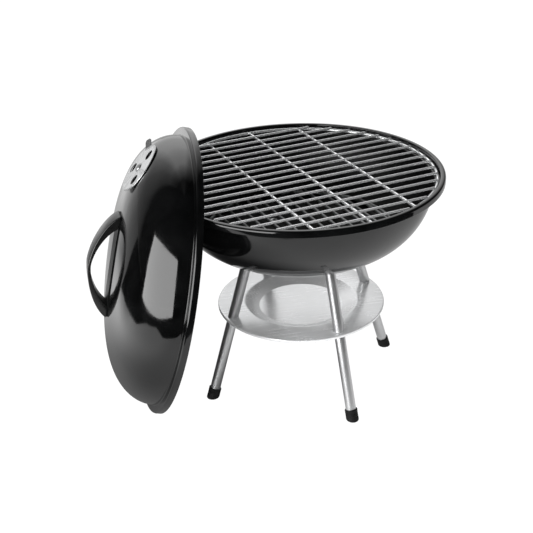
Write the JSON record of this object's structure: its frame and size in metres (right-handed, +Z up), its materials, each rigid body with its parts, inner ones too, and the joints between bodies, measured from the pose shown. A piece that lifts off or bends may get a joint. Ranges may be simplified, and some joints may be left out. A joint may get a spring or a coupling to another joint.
{
  "type": "kettle charcoal grill",
  "caption": "Portable kettle grill: dished bowl with rolled rim on splayed tube legs, clamped ash plate, wire grates, and a separate domed lid leaning on its edge beside it.",
  "frame": {"origin": "on the ground, at the middle of the whole object's footprint box, with the lid in its leaning place", "axes": "+Z up; the lid leans on the -X side of the bowl, its axis in the XZ plane; the bowl axis is upright at x = 46.3 mm, y = 0"},
  "size_m": [0.4526, 0.36, 0.3516],
  "materials": {
    "black_enamel": "gloss vitreous enamel",
    "chromed_wire": "bright plated wire",
    "leg_tube": "satin drawn tube",
    "plated_steel": "bright zinc-plated sheet",
    "vent_steel": "bright stamped sheet",
    "bright_steel": "zinc-plated fastener",
    "black_nylon": "satin moulded heat-resistant plastic",
    "black_rubber": "soft matt rubber"
  },
  "bodies": {
    "base": {"bowl": "black_enamel", "ash_plate": "plated_steel", "bowl_vent_rivet": "bright_steel", "leg_upper_1": "leg_tube", "leg_lower_1": "leg_tube", "leg_joiner_1": "bright_steel", "foot_cap_1": "black_rubber", "leg_bolt_1": "bright_steel", "leg_upper_2": "leg_tube", "leg_lower_2": "leg_tube", "leg_joiner_2": "bright_steel", "foot_cap_2": "black_rubber", "leg_bolt_2": "bright_steel", "leg_upper_3": "leg_tube", "leg_lower_3": "leg_tube", "leg_joiner_3": "bright_steel", "foot_cap_3": "black_rubber", "leg_bolt_3": "bright_steel", "leg_upper_4": "leg_tube", "leg_lower_4": "leg_tube", "leg_joiner_4": "bright_steel", "foot_cap_4": "black_rubber", "leg_bolt_4": "bright_steel"},
    "lid_body": {"lid": "black_enamel", "lid_handle": "black_nylon", "handle_heat_shield": "black_enamel", "handle_screw_upper": "bright_steel", "handle_screw_lower": "bright_steel", "lid_vent_rivet": "bright_steel"},
    "lid_vent": {"lid_vent_damper": "vent_steel"},
    "bowl_vent": {"bowl_vent_damper": "vent_steel"},
    "grate": {"cooking_grate": "chromed_wire"},
    "coal_grate": {"charcoal_grate": "chromed_wire"}
  },
  "joints": [
    {"name": "lid_swing", "type": "hinge", "parent": "base", "child": "lid_body", "pos_m": [0.04031, 0, 0.13031], "axis": [0, 1, 0], "range_deg": [0, 76.56]},
    {"name": "lid_vent_turn", "type": "hinge", "parent": "lid_body", "child": "lid_vent", "pos_m": [-0.14949, 0.00893, 0.31306], "axis": [-0.7545, 0.0323, 0.6555], "range_deg": [-60, 60]},
    {"name": "bowl_vent_turn", "type": "hinge", "parent": "base", "child": "bowl_vent", "pos_m": [0.0463, 0, 0.187], "axis": [0, 0, 1], "range_deg": [-60, 60]},
    {"name": "cooking_grate_lift", "type": "slide", "parent": "base", "child": "grate", "axis": [0, 0, 1], "range_m": [0, 0.012]},
    {"name": "charcoal_grate_lift", "type": "slide", "parent": "base", "child": "coal_grate", "axis": [0, 0, 1], "range_m": [0, 0.05]}
  ]
}
